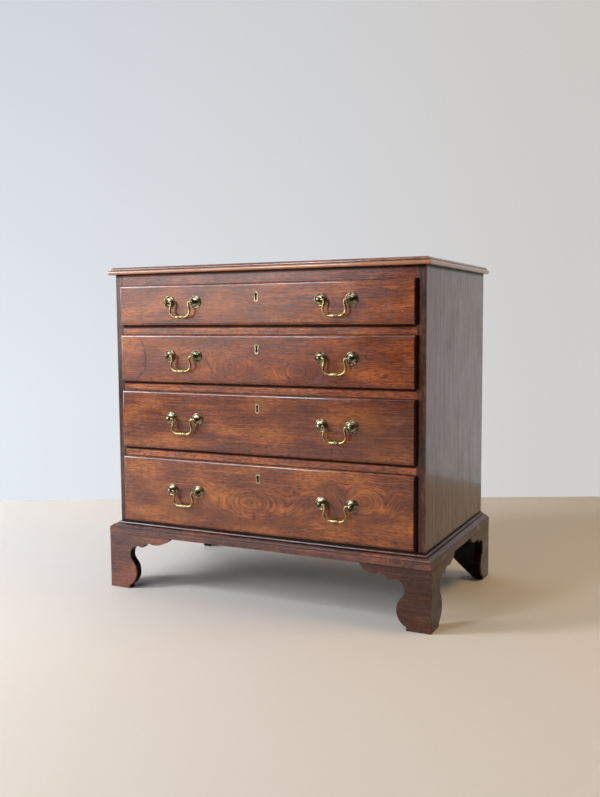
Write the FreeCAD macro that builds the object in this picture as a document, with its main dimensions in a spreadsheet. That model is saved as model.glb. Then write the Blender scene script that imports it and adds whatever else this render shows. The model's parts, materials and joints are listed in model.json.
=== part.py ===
import FreeCAD, Part
import math
import os
import re
import sys

import Sketcher

# Bachelor's chest: four graduated long drawers in a carcase on shaped bracket feet.
# Millimetres, +Z up. The drawers face -Y, and the origin is on the floor under the middle of the whole box.

SIZES = {
    # carcase boards
    "carcase_width": 820,
    "carcase_depth": 485,
    "side_thickness": 21,
    "bottom_thickness": 20,
    "back_thickness": 10,
    "back_rebate": 9,
    # rails, stacked with the four drawer openings
    "rail_thickness": 25.5,
    "rail_depth": 60,
    "top_rail_height": 31.5,
    "opening_one": 97,
    "opening_two": 115,
    "opening_three": 142,
    "opening_four": 166,
    "tenon_length": 9,
    "tenon_shoulder": 5,
    "dust_board_thickness": 8,
    "dust_board_tongue": 6,
    "runner_width": 28,
    # top board with its nosed and rounded edge
    "top_thickness": 18,
    "top_overhang": 15,
    "top_nose_height": 10.5,
    "top_ovolo": 6.2,
    "top_quirk": 0.8,
    # base moulding
    "base_height": 28.5,
    "base_projection": 22,
    "base_face": 16,
    "base_quirk": 1.2,
    "base_shelf": 1.5,
    "base_bead": 4,
    "base_groove": 1.2,
    "base_bulge": 1,
    "base_reveal": 4,
    # scrolled foot brackets: reaches run in from the outer corner, drops hang from the moulding,
    # and each run goes on from the point before it
    "foot_height": 141.5,
    "bracket_thickness": 22,
    "toe_width": 58,
    "toe_height": 8.8,
    "toe_step": 1.7,
    "belly_reach": 81,
    "belly_drop": 98.5,
    "waist_reach": 71,
    "waist_drop": 69.5,
    "neck_reach": 62.5,
    "neck_drop": 48,
    "hook_run": 21,
    "hook_drop": 28,
    "cusp_run": 16.5,
    "cusp_drop": 31,
    "scoop_run": 8,
    "scoop_drop": 23,
    "notch_run": 20,
    "notch_drop": 18.5,
    "lobe_bow": 28,
    "lobe_drop": 20,
    "lobe_run": 64,
    # the right front bracket was sawn with a shorter lobe than the others
    "short_lobe_bow": 26,
    "short_lobe_drop": 20.5,
    "short_lobe_run": 50,
    # plain slanting brackets at the back, points measured in from the side bracket
    "rear_bracket_thickness": 20,
    "rear_bracket_inset": 22,
    "rear_bracket_length": 156,
    "rear_toe": 10,
    "rear_bow_reach": 66,
    "rear_bow_height": 49,
    # glue blocks
    "corner_block": 20,
    "corner_block_lift": 45,
    "base_strip_depth": 60,
    "top_block": 24,
    "top_block_length": 70,
    "top_block_inset": 90,
    # drawer fronts
    "lip_overlap": 4,
    "lip_depth": 10,
    "lip_gap": 0.3,
    "lip_round": 6,
    "lip_step": 1.2,
    "tongue_depth": 14,
    # drawer boxes and their running clearances
    "drawer_back_gap": 30,
    "drawer_side_thickness": 10,
    "drawer_back_thickness": 10,
    "drawer_bottom_thickness": 8,
    "drawer_bottom_rise": 8,
    "drawer_groove": 5,
    "drawer_side_drop": 3,
    "drawer_back_drop": 4,
    "side_clearance": 1,
    "top_clearance": 2,
    "bottom_clearance": 1,
    "running_clearance": 0.3,
    "dovetail_length": 11,
    "dovetail_pin": 6,
    "dovetail_flare": 2,
    # handle posts, rosettes and nuts
    "handle_spacing": 204,
    "handle_pitch": 76,
    "handle_rise": 7,
    "ball_radius": 6.3,
    "post_neck_radius": 3.4,
    "post_collar_radius": 4.6,
    "post_collar_height": 1.2,
    "post_neck_length": 2,
    "shank_radius": 3,
    "shank_clearance": 0.3,
    "shank_tail": 2,
    "rosette_radius": 15,
    "rosette_height": 4.5,
    "rosette_edge": 1.4,
    "rosette_bead": 1.2,
    "rosette_swell": 0.9,
    "nut_width": 11,
    "nut_thickness": 4,
    # bails
    "wire_radius": 2.6,
    "pin_radius": 1.6,
    "pin_clearance": 0.15,
    "pin_depth": 4.5,
    "pin_end_clearance": 0.4,
    "shoulder_gap": 0.5,
    "neck_run": 1.9,
    "neck_bend": 4.6,
    "arm_bend": 30,
    "arm_angle": 22,
    "corner_bend": 15,
    "grip_radius": 4,
    "grip_length": 22,
    "knop_radius": 4.8,
    "knop_width": 3.2,
    # keyholes, escutcheons and locks
    "keyhole_drop": 33.5,
    "keyhole_height": 17,
    "keyhole_head": 3.2,
    "keyhole_neck": 2,
    "keyhole_tail": 2.8,
    "escutcheon_rim": 2,
    "escutcheon_cap": 3.4,
    "escutcheon_depth": 5.5,
    "escutcheon_proud": 0.5,
    "lock_width": 64,
    "lock_depth": 12,
    "lock_margin": 8,
    "lock_cap_width": 48,
    "lock_plate": 2,
    "lock_wall": 1.2,
    "key_pin_radius": 1.5,
    "bolt_width": 20,
    "bolt_tail_width": 32,
    "bolt_thickness": 5.4,
    "bolt_clearance": 0.3,
    "bolt_throw": 8,
    "mortise_clearance": 1,
}
BACK_BOARDS = 4
DOVETAILS = {1: 3, 2: 3, 3: 4, 4: 4}
NUMBER_WORDS = {1: "one", 2: "two", 3: "three", 4: "four"}
SIDES = {"left": "-1", "right": "1"}

doc = FreeCAD.newDocument("bachelors_chest")
sheet = doc.addObject("Spreadsheet::Sheet", "sizes")
for row, (alias, size) in enumerate(SIZES.items(), start=1):
    sheet.set(f"A{row}", alias)
    sheet.set(f"B{row}", str(size))
    sheet.setAlias(f"B{row}", alias)
doc.recompute()

subparts = []


# Expressions: a size is written by its name, and points at its cell in the sheet.

def bound(text):
    return re.sub(r"[a-z][a-z_]*", lambda word: f"sizes.{word[0]}" if word[0] in SIZES else word[0], text)


def value(text):
    return float(sheet.evalExpression(bound(text)))


def tie(item, **properties):
    for name, text in properties.items():
        item.setExpression(name, bound(text))


def place(item, x="0", y="0", z="0"):
    for axis, text in zip("xyz", (x, y, z)):
        item.setExpression(f"Placement.Base.{axis}", bound(text))


def subpart(label, item):
    item.Label = label
    subparts.append(item)
    return item


# Shapes: blocks and rods, outlines that are padded or turned, and what joins and cuts them.

def block(name, x, y, z):
    item = doc.addObject("Part::Box", name)
    tie(item, Length=f"({x[1]}) - ({x[0]})", Width=f"({y[1]}) - ({y[0]})", Height=f"({z[1]}) - ({z[0]})")
    place(item, x[0], y[0], z[0])
    return item


def rod(name, direction, radius, length, x, y, z):
    item = doc.addObject("Part::Cylinder", name)
    item.Placement.Rotation = FreeCAD.Rotation(FreeCAD.Vector(0, 0, 1), direction)
    tie(item, Radius=radius, Height=length)
    place(item, x, y, z)
    return item


def origin_feature(body, role):
    return next(feature for feature in body.Origin.OriginFeatures if feature.Role == role)


def sketch_on(body, plane):
    sketch = body.newObject("Sketcher::SketchObject", f"{body.Name}_outline")
    sketch.AttachmentSupport = [(origin_feature(body, plane), "")]
    sketch.MapMode = "FlatFace"
    return sketch


def pin_point(sketch, geometry, end, point):
    """Holds one end of a sketch line at the place its two expressions give."""
    axes = {"DistanceX": -2, "DistanceY": -1}
    for (kind, axis), text in zip(axes.items(), point):
        if text == "0":
            sketch.addConstraint(Sketcher.Constraint("PointOnObject", geometry, end, axis))
        else:
            index = sketch.addConstraint(Sketcher.Constraint(kind, -1, 1, geometry, end, value(text)))
            sketch.setExpression(f"Constraints[{index}]", bound(text))


def add_arc(sketch, start, via, end):
    """Adds the arc from start through via to end, and tells which of its ends is which."""
    curve = Part.Circle(start, via, end)
    centre = curve.Center
    circle = Part.Circle(centre, FreeCAD.Vector(0, 0, 1), curve.Radius)
    angles = [math.atan2(point.y - centre.y, point.x - centre.x) for point in (start, end)]
    turns_left = (via - start).cross(end - via).z > 0
    if not turns_left:
        angles.reverse()
    geometry = sketch.addGeometry(Part.ArcOfCircle(circle, *angles))
    return (geometry, 1, 2) if turns_left else (geometry, 2, 1)


def draw(sketch, points, closed=True):
    """Draws an outline. A point of two expressions ends a line, one of four is an arc's middle and end."""
    if closed and points[-1][-2:] != points[0]:
        points = points + [points[0]]
    numbers = [[value(text) for text in point] for point in points]
    places = [FreeCAD.Vector(*number[-2:], 0) for number in numbers]
    pieces = []
    for index in range(1, len(points)):
        start, end = places[index - 1], places[index]
        if len(points[index]) == 4:
            via = FreeCAD.Vector(*numbers[index][:2], 0)
            pieces.append(add_arc(sketch, start, via, end))
            middle = sketch.addGeometry(Part.Point(via), True)
            pin_point(sketch, middle, 1, points[index][:2])
            sketch.addConstraint(Sketcher.Constraint("PointOnObject", middle, 1, pieces[-1][0]))
        else:
            pieces.append((sketch.addGeometry(Part.LineSegment(start, end)), 1, 2))
    followers = pieces[1:] + pieces[:1] if closed else pieces[1:]
    for (piece, _, end), (follower, start, _) in zip(pieces, followers):
        sketch.addConstraint(Sketcher.Constraint("Coincident", piece, end, follower, start))
    for (piece, _, end), point in zip(pieces, points[1:]):
        pin_point(sketch, piece, end, point[-2:])
    if not closed:
        pin_point(sketch, pieces[0][0], pieces[0][1], points[0])


def prism(name, plane, points, low, high):
    """Pads an outline drawn on an origin plane from low to high along the plane's own axis."""
    body = doc.addObject("PartDesign::Body", name)
    sketch = sketch_on(body, plane)
    draw(sketch, points)
    pad = body.newObject("PartDesign::Pad", f"{name}_pad")
    pad.Profile = sketch
    pad.Reversed = plane == "XZ_Plane"
    tie(pad, Length=f"({high}) - ({low})")
    axis = {"YZ_Plane": "x", "XZ_Plane": "y", "XY_Plane": "z"}[plane]
    place(body, **{axis: low})
    return body


def turned(name, points, x, y, z):
    """Turns an outline of (radius, depth) points about a front-to-back axis."""
    body = doc.addObject("PartDesign::Body", name)
    sketch = sketch_on(body, "XY_Plane")
    draw(sketch, points)
    revolution = body.newObject("PartDesign::Revolution", f"{name}_turning")
    revolution.Profile = sketch
    revolution.ReferenceAxis = (sketch, ["V_Axis"])
    place(body, x, y, z)
    return body


def combine(kind, name, shapes):
    item = doc.addObject(kind, name)
    item.Shapes = shapes
    return item


def fuse(name, *shapes):
    return combine("Part::MultiFuse", name, shapes)


def common(name, *shapes):
    return combine("Part::MultiCommon", name, shapes)


def cut(name, base, *tools):
    for index, tool in enumerate(tools, start=1):
        item = doc.addObject("Part::Cut", f"{name}_cut_{index}")
        item.Base = base
        item.Tool = tool
        base = item
    return base


def group(name, shapes):
    item = doc.addObject("Part::Compound", name)
    item.Links = shapes
    return item


# Shared places.

NECK_TOP = "(rosette_height + post_collar_height + post_neck_length)"
BALL_STANDOFF = f"({NECK_TOP} + sqrt(ball_radius^2 - post_neck_radius^2))"
REACH = f"(lip_gap + lip_depth + {BALL_STANDOFF} + ball_radius)"
FRONT = f"(({REACH} - carcase_depth) / 2)"
BACK = f"(({REACH} + carcase_depth) / 2)"
BACK_FACE = f"({BACK} - back_thickness)"
HALF_WIDTH = "(carcase_width / 2)"
HALF_OPENING = "(carcase_width / 2 - side_thickness)"
HALF_BASE = "(carcase_width / 2 + base_projection)"
BASE_FRONT = f"({FRONT} - base_projection)"
FLOOR_TOP = "(foot_height + base_height + base_reveal)"
FLOOR_UNDER = f"({FLOOR_TOP} - bottom_thickness)"
RAIL_BACK = f"({FRONT} + rail_depth)"

OPEN_BOTTOM = {}
OPEN_TOP = {}
level = FLOOR_TOP
for drawer in (4, 3, 2, 1):
    OPEN_BOTTOM[drawer] = level
    OPEN_TOP[drawer] = f"({level} + opening_{NUMBER_WORDS[drawer]})"
    level = f"({OPEN_TOP[drawer]} + rail_thickness)"
CARCASE_TOP = f"({OPEN_TOP[1]} + top_rail_height)"
TOP_SURFACE = f"({CARCASE_TOP} + top_thickness)"

LIP_BACK = f"({FRONT} - lip_gap)"
FACE = f"({LIP_BACK} - lip_depth)"
FRONT_BACK = f"({FRONT} + tongue_depth)"
HALF_TONGUE = f"({HALF_OPENING} - side_clearance)"
HALF_LIP = f"({HALF_OPENING} + lip_overlap)"
INNER_HALF = f"({HALF_TONGUE} - drawer_side_thickness)"
DRAWER_END = f"({BACK_FACE} - drawer_back_gap)"
PIVOT = f"({FACE} - {BALL_STANDOFF})"
LOCK_FRONT = f"({FRONT_BACK} - lock_depth)"
BOLT_MIDDLE = f"({FRONT_BACK} - (lock_plate + lock_depth - lock_wall) / 2)"
BOLT_FRONT = f"({BOLT_MIDDLE} - bolt_thickness / 2)"
BOLT_BACK = f"({BOLT_MIDDLE} + bolt_thickness / 2)"

HOOK = "(neck_reach + hook_run)"
CUSP = f"({HOOK} + cusp_run)"
NOTCH = f"({CUSP} + notch_run)"
BRACKET_LENGTH = f"({NOTCH} + lobe_run)"
BRACKET_SIDE = f"({HALF_BASE} - bracket_thickness)"
BRACKET_BACK = f"({BASE_FRONT} + bracket_thickness)"
SLANT_BACK = f"({BACK} - rear_bracket_inset)"
SLANT_FRONT = f"({SLANT_BACK} - rear_bracket_thickness)"

LIP_TOP = {}
TONGUE_TOP = {}
SIDE_BOTTOM = {}
SIDE_TOP = {}
HANDLE = {}
KEYHOLE = {}
for drawer in NUMBER_WORDS:
    LIP_TOP[drawer] = f"({OPEN_TOP[drawer]} + lip_overlap)"
    TONGUE_TOP[drawer] = f"({OPEN_TOP[drawer]} - top_clearance)"
    SIDE_BOTTOM[drawer] = f"({OPEN_BOTTOM[drawer]} + running_clearance)"
    SIDE_TOP[drawer] = f"({TONGUE_TOP[drawer]} - drawer_side_drop)"
    HANDLE[drawer] = f"(({OPEN_BOTTOM[drawer]} + bottom_clearance + {LIP_TOP[drawer]}) / 2 + handle_rise)"
    KEYHOLE[drawer] = f"({LIP_TOP[drawer]} - keyhole_drop)"


def across(half):
    return (f"-{half}", half)


def beside(hand, near, far):
    """The stretch between two distances from the middle, on the left or the right hand."""
    return (near, far) if hand == "right" else (f"-{far}", f"-{near}")


# Top board.

def nosing(edge, surface_edge, sign):
    """The edge of the top from its underside up: half-round nose, small fillet, ovolo."""
    nose_root = f"{edge} {sign} (-top_nose_height / 2)"
    nose_tip = edge
    ovolo_foot = f"{surface_edge} {sign} top_ovolo"
    ovolo_middle = f"{surface_edge} {sign} top_ovolo * sqrt(0.5)"
    shoulder = f"({TOP_SURFACE} - top_ovolo)"
    return [
        (nose_root, CARCASE_TOP),
        (nose_tip, f"{CARCASE_TOP} + top_nose_height / 2", nose_root, f"{CARCASE_TOP} + top_nose_height"),
        (ovolo_foot, f"{CARCASE_TOP} + top_nose_height"),
        (ovolo_foot, shoulder),
        (ovolo_middle, f"{shoulder} + top_ovolo * sqrt(0.5)", surface_edge, TOP_SURFACE),
    ]


def reverse_outline(points):
    """The same lines and arcs, drawn from the other end."""
    backwards = [points[-1][-2:]]
    for point, previous in zip(points[::-1], points[-2::-1]):
        backwards.append(point[:-2] + previous[-2:])
    return backwards


def mirror_outline(points):
    """The same lines and arcs on the other side of the middle."""
    def flip(point):
        return tuple(f"-({text})" if index % 2 == 0 else text for index, text in enumerate(point))

    return [flip(point) for point in points]


def make_top():
    half = f"({HALF_WIDTH} + top_overhang)"
    lead = f"({FRONT} - top_overhang)"
    surface_inset = "(top_nose_height / 2 + top_quirk + top_ovolo)"
    left = nosing(f"-{half}", f"(-{half} + {surface_inset})", "-")
    right = nosing(half, f"({half} - {surface_inset})", "+")
    front = nosing(lead, f"({lead} + {surface_inset})", "-")
    ends = prism("top_ends", "XZ_Plane", right + reverse_outline(left), lead, BACK)
    along = prism("top_front", "YZ_Plane", front + [(BACK, TOP_SURFACE), (BACK, CARCASE_TOP)],
                  f"-{half}", half)
    subpart("top_board", common("top_shape", ends, along))


# Rails, dust boards, runners and bottom board.

def lock_mortise(drawer):
    """The hole in the rail above a drawer that its lock bolt rises into."""
    half = "(bolt_width / 2 + mortise_clearance)"
    depth = f"({OPEN_TOP[drawer]} - top_clearance + bolt_throw + mortise_clearance)"
    return block(
        f"mortise_{drawer}",
        across(half),
        (f"{BOLT_FRONT} - mortise_clearance", f"{BOLT_BACK} + mortise_clearance"),
        (OPEN_TOP[drawer], depth))


def tenoned_rail(name, y, z):
    """A rail between the sides with a shouldered tenon on each end."""
    rail = block(f"{name}_bar", across(HALF_OPENING), y, z)
    tenons = block(
        f"{name}_tenons",
        across(f"({HALF_OPENING} + tenon_length)"),
        (f"{y[0]} + tenon_shoulder", f"{y[1]} - tenon_shoulder"),
        (f"{z[0]} + tenon_shoulder", f"{z[1]} - tenon_shoulder"))
    return fuse(f"{name}_blank", rail, tenons)


def make_rails():
    """Top rails, divider rails, and behind each divider its dust board between two runners."""
    front_rail = tenoned_rail(
        "top_rail", (FRONT, RAIL_BACK), (OPEN_TOP[1], CARCASE_TOP))
    front_rail = subpart("front_top_rail", cut("top_rail", front_rail, lock_mortise(1)))
    rear_rail = tenoned_rail(
        "rear_rail", (f"{BACK_FACE} - rail_depth", BACK_FACE), (OPEN_TOP[1], CARCASE_TOP))
    rails = [front_rail, subpart("rear_top_rail", rear_rail)]
    dust_boards = []
    runners = []
    for drawer in (1, 2, 3):
        height = (OPEN_TOP[drawer + 1], OPEN_BOTTOM[drawer])
        middle = f"({height[0]} + rail_thickness / 2)"
        runner_face = f"({HALF_OPENING} - runner_width)"
        dust_board = block(
            f"dust_board_{drawer}",
            across(f"({runner_face} + dust_board_tongue)"),
            (f"{RAIL_BACK} - dust_board_tongue", BACK_FACE),
            (f"{middle} - dust_board_thickness / 2", f"{middle} + dust_board_thickness / 2"))
        dust_boards.append(dust_board)
        rail = tenoned_rail(f"divider_{drawer}", (FRONT, RAIL_BACK), height)
        rail = cut(f"divider_{drawer}", rail, lock_mortise(drawer + 1), dust_board)
        rails.append(subpart(f"divider_rail_{drawer}", rail))
        for hand in SIDES:
            strip = block(f"runner_{drawer}_{hand}", beside(hand, runner_face, HALF_OPENING),
                          (RAIL_BACK, BACK_FACE), height)
            runners.append(cut(f"runner_{drawer}_{hand}", strip, dust_board))
    subpart("dust_boards", group("dust_board_set", dust_boards))
    subpart("drawer_runners", group("runner_set", runners))
    bottom = block("bottom", across(f"({HALF_OPENING} + tenon_length)"), (FRONT, BACK_FACE),
                   (FLOOR_UNDER, FLOOR_TOP))
    rails.append(subpart("bottom_board", bottom))
    return rails


def make_back():
    """Vertical back boards, nailed into the rebates of the sides."""
    half = f"({HALF_OPENING} + back_rebate)"
    width = f"(2 * {half} / {BACK_BOARDS})"
    boards = []
    for index in range(BACK_BOARDS):
        x = (f"-{half} + {index} * {width}", f"-{half} + {index + 1} * {width}")
        boards.append(block(f"back_board_{index + 1}", x, (BACK_FACE, BACK),
                            (FLOOR_UNDER, CARCASE_TOP)))
    return subpart("back_boards", group("back_board_set", boards))


def make_sides(housed):
    """The two sides, with the housings and rebates of everything that is let into them."""
    for hand in SIDES:
        blank = block(f"{hand}_blank", beside(hand, HALF_OPENING, HALF_WIDTH), (FRONT, BACK),
                      ("foot_height", CARCASE_TOP))
        subpart(f"{hand}_side", cut(f"{hand}_side", blank, *housed))


# Base moulding and feet.

def base_section(root, sign):
    """The base moulding's section from the bottom up: flat face, quirk, slope, groove, bead and shelf."""
    def out(reach):
        return f"{root} {sign} ({reach})"

    top = "(foot_height + base_height)"
    rise = "(foot_height + base_face)"
    head = f"({top} - base_bead)"
    slope_foot = "(base_projection - base_quirk)"
    slope_head = "(base_shelf + base_bead + base_groove)"
    return [
        (root, "foot_height"),
        (out("base_projection"), "foot_height"),
        (out("base_projection"), rise),
        (out(slope_foot), rise),
        (out(f"({slope_foot} + {slope_head}) / 2 + base_bulge"), f"({rise} + {head}) / 2 + base_bulge",
         out(slope_head), head),
        (out("base_shelf + base_bead"), f"{head} - base_groove"),
        (out("base_shelf + base_bead"), head),
        (out("base_shelf + base_bead * sqrt(0.5)"), f"{head} + base_bead * sqrt(0.5)",
         out("base_shelf"), top),
        (root, top),
    ]


def make_base_moulding():
    """Three lengths, mitred at the two front corners."""
    top = "(foot_height + base_height)"
    plan = [
        (f"-{HALF_BASE}", BASE_FRONT),
        (HALF_BASE, BASE_FRONT),
        (HALF_WIDTH, FRONT),
        (f"-{HALF_WIDTH}", FRONT),
    ]
    length = prism("front_moulding_length", "YZ_Plane", base_section(FRONT, "-"), f"-{HALF_BASE}", HALF_BASE)
    mitres = prism("front_moulding_mitres", "XY_Plane", plan, "foot_height", top)
    subpart("base_moulding_front", common("front_moulding", length, mitres))
    for hand, sign in (("left", "-"), ("right", "+")):
        section = base_section(f"({SIDES[hand]} * {HALF_WIDTH})", sign)
        plan = [
            (f"{SIDES[hand]} * {HALF_WIDTH}", FRONT),
            (f"{SIDES[hand]} * {HALF_BASE}", BASE_FRONT),
            (f"{SIDES[hand]} * {HALF_BASE}", BACK),
            (f"{SIDES[hand]} * {HALF_WIDTH}", BACK),
        ]
        length = prism(f"{hand}_moulding_length", "XZ_Plane", section, BASE_FRONT, BACK)
        mitre = prism(f"{hand}_moulding_mitre", "XY_Plane", plan, "foot_height", top)
        subpart(f"base_moulding_{hand}", common(f"{hand}_moulding", length, mitre))


def scroll_outline(corner, sign, lobe="lobe"):
    """The scrolled bracket seen square on: toe, belly, neck, hook and cusp, scoop and lobe."""
    def at(reach, height):
        return (f"{corner} {sign} ({reach})", height)

    def below(reach, drop):
        return at(reach, f"foot_height - {drop}")

    return [
        (corner, "0"),
        at("toe_width", "0"),
        at("toe_width", "toe_height"),
        at("toe_width + toe_step", "toe_height"),
        below("belly_reach", "belly_drop") + below("waist_reach", "waist_drop"),
        below("neck_reach", "neck_drop") + below(HOOK, "hook_drop"),
        below(CUSP, "cusp_drop"),
        below(f"{CUSP} + scoop_run", "scoop_drop") + below(NOTCH, "notch_drop"),
        below(f"{NOTCH} + {lobe}_bow", f"{lobe}_drop") + at(f"{NOTCH} + {lobe}_run", "foot_height"),
        (corner, "foot_height"),
    ]


def front_bracket(hand):
    side = SIDES[hand]
    corner = f"({side} * {HALF_BASE})"
    inward = "+" if hand == "left" else "-"
    lobe = "lobe" if hand == "left" else "short_lobe"
    scroll = prism(f"{hand}_front_scroll", "XZ_Plane", scroll_outline(corner, inward, lobe),
                   BASE_FRONT, BRACKET_BACK)
    plan = [
        (corner, BASE_FRONT),
        (f"{corner} {inward} {BRACKET_LENGTH}", BASE_FRONT),
        (f"{corner} {inward} {BRACKET_LENGTH}", BRACKET_BACK),
        (f"{corner} {inward} bracket_thickness", BRACKET_BACK),
    ]
    mitre = prism(f"{hand}_front_plan", "XY_Plane", plan, "0", "foot_height")
    return common(f"{hand}_front_bracket", scroll, mitre)


def side_bracket(hand, end):
    """A bracket along the side, mitred to the front bracket or square at the back."""
    name = f"{hand}_{end}_bracket"
    side = SIDES[hand]
    low, high = beside(hand, BRACKET_SIDE, HALF_BASE)
    if end == "rear":
        return prism(name, "YZ_Plane", scroll_outline(BACK, "-"), low, high)
    scroll = prism(f"{name}_scroll", "YZ_Plane", scroll_outline(BASE_FRONT, "+"), low, high)
    plan = [
        (f"{side} * {HALF_BASE}", BASE_FRONT),
        (f"{side} * {HALF_BASE}", f"{BASE_FRONT} + {BRACKET_LENGTH}"),
        (f"{side} * {BRACKET_SIDE}", f"{BASE_FRONT} + {BRACKET_LENGTH}"),
        (f"{side} * {BRACKET_SIDE}", BRACKET_BACK),
    ]
    mitre = prism(f"{name}_plan", "XY_Plane", plan, "0", "foot_height")
    return common(name, scroll, mitre)


def slanting_bracket(hand):
    """The plain bracket across the back of a rear foot."""
    side = SIDES[hand]

    def at(reach, height):
        return (f"{side} * ({BRACKET_SIDE} - {reach})", height)

    outline = [
        at("0", "0"),
        at("rear_toe", "0"),
        at("rear_bow_reach", "rear_bow_height") + at("rear_bracket_length", "foot_height"),
        at("0", "foot_height"),
    ]
    return prism(f"{hand}_slanting_bracket", "XZ_Plane", outline, SLANT_FRONT, SLANT_BACK)


def make_feet():
    for hand in SIDES:
        front = [front_bracket(hand), side_bracket(hand, "front")]
        rear = [side_bracket(hand, "rear"), slanting_bracket(hand)]
        subpart(f"front_{hand}_foot", group(f"front_{hand}_brackets", front))
        subpart(f"rear_{hand}_foot", group(f"rear_{hand}_brackets", rear))


def make_glue_blocks():
    """Three-sided blocks in the feet, strips under the bottom board, and blocks under the top."""
    under_floor = ("foot_height", FLOOR_UNDER)
    front_strip = (FRONT, f"{FRONT} + base_strip_depth")
    rear_strip = (f"{BACK_FACE} - base_strip_depth", BACK_FACE)
    blocks = [
        block("front_strip", across(HALF_OPENING), front_strip, under_floor),
        block("rear_strip", across(HALF_OPENING), rear_strip, under_floor),
    ]
    corner_height = ("corner_block_lift", "foot_height")
    under_top = (f"{CARCASE_TOP} - top_block", CARCASE_TOP)
    first = f"({RAIL_BACK} + top_block_inset)"
    last = f"({BACK_FACE} - rail_depth - top_block_inset)"
    for hand in SIDES:
        sign = "-" if hand == "left" else ""
        side = f"{sign}{BRACKET_SIDE}"
        inside = f"{sign}({BRACKET_SIDE} - corner_block)"
        corner_depths = {
            "front": (BRACKET_BACK, f"{BRACKET_BACK} + corner_block"),
            "rear": (SLANT_FRONT, f"{SLANT_FRONT} - corner_block"),
        }
        for end, (wall, reach) in corner_depths.items():
            triangle = [(side, wall), (inside, wall), (side, reach)]
            blocks.append(prism(f"{end}_{hand}_corner_block", "XY_Plane", triangle, *corner_height))
        inner = beside(hand, f"({HALF_OPENING} - top_block)", HALF_OPENING)
        top_depths = {
            "front": (first, f"{first} + top_block_length"),
            "rear": (f"{last} - top_block_length", last),
        }
        for end, depth in top_depths.items():
            blocks.append(block(f"{end}_{hand}_top_block", inner, depth, under_top))
    subpart("glue_blocks", group("glue_block_set", blocks))


# Drawers.

def lip_edge(edge, inward):
    """The moulded lip from its outer edge to the raised field, as points along the front and in depth."""
    outward = "-" if inward == "+" else "+"
    centre = f"({edge} {inward} lip_round)"
    ledge = f"({FACE} + lip_step)"
    middle = (f"{centre} {outward} lip_round * sqrt(0.5)", f"{ledge} + lip_round * (1 - sqrt(0.5))")
    return [
        (edge, f"{ledge} + lip_round"),
        (*middle, centre, ledge),
        (centre, FACE),
    ]


def swap_axes(points):
    return [tuple(text for pair in zip(point[1::2], point[::2]) for text in pair) for point in points]


def front_blank(drawer):
    """The drawer front before anything is let into it: a tongue in the opening behind a moulded lip."""
    name = f"drawer_{drawer}_blank"
    low = f"({OPEN_BOTTOM[drawer]} + bottom_clearance)"
    lip_top = LIP_TOP[drawer]
    tongue_top = TONGUE_TOP[drawer]
    plan = lip_edge(f"-{HALF_LIP}", "+") + reverse_outline(lip_edge(HALF_LIP, "-"))
    plan += [(HALF_LIP, LIP_BACK), (HALF_TONGUE, LIP_BACK), (HALF_TONGUE, FRONT_BACK)]
    plan += [(f"-{HALF_TONGUE}", FRONT_BACK), (f"-{HALF_TONGUE}", LIP_BACK), (f"-{HALF_LIP}", LIP_BACK)]
    section = swap_axes(lip_edge(low, "+") + reverse_outline(lip_edge(lip_top, "-")))
    section += [(LIP_BACK, lip_top), (LIP_BACK, tongue_top), (FRONT_BACK, tongue_top), (FRONT_BACK, low)]
    return common(
        name,
        prism(f"{name}_plan", "XY_Plane", plan, low, lip_top),
        prism(f"{name}_section", "YZ_Plane", section, f"-{HALF_LIP}", HALF_LIP))


def dovetails(low, high, count, shoulder, tip):
    """Points up one end of a drawer side: tails that widen from the shoulder to the tip."""
    pitch = f"(({high}) - ({low})) / {count}"
    points = []
    for tail in range(count):
        under = f"{low} + {tail} * {pitch} + dovetail_pin / 2"
        over = f"{low} + {tail + 1} * {pitch} - dovetail_pin / 2"
        points += [(shoulder, f"{under} + dovetail_flare"), (tip, under)]
        points += [(tip, over), (shoulder, f"{over} - dovetail_flare")]
    return points


def drawer_side(drawer, hand, bottom):
    low, high = SIDE_BOTTOM[drawer], SIDE_TOP[drawer]
    count = DOVETAILS[drawer]
    rear_shoulder = f"({DRAWER_END} - drawer_back_thickness)"
    rear = dovetails(low, high, count, rear_shoulder, DRAWER_END)
    front = dovetails(low, high, count, FRONT_BACK, f"{FRONT_BACK} - dovetail_length")
    outline = [(FRONT_BACK, low), (rear_shoulder, low)] + rear
    outline += [(rear_shoulder, high), (FRONT_BACK, high)] + front[::-1]
    name = f"drawer_{drawer}_{hand}"
    return cut(name, prism(name, "YZ_Plane", outline, *beside(hand, INNER_HALF, HALF_TONGUE)), bottom)


def keyhole_outline(drawer, rim, cap):
    """A round head on a waisted slot, grown by a rim at its sides and a cap at its top and bottom."""
    top = f"({KEYHOLE[drawer]} + keyhole_height / 2)"
    bottom = f"({KEYHOLE[drawer]} - keyhole_height / 2)"
    head = f"({top} - keyhole_head)"
    tail = f"({bottom} + keyhole_tail)"
    neck = f"(keyhole_neck + {rim})"
    end = f"(keyhole_tail + {rim})"
    neck_height = f"{head} - sqrt((keyhole_head + {rim})^2 - {neck}^2)"
    return [
        (f"-{neck}", neck_height),
        (f"-{end}", tail),
        ("0", f"{bottom} - {cap}", end, tail),
        (neck, neck_height),
        ("0", f"{top} + {cap}", f"-{neck}", neck_height),
    ]


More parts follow.
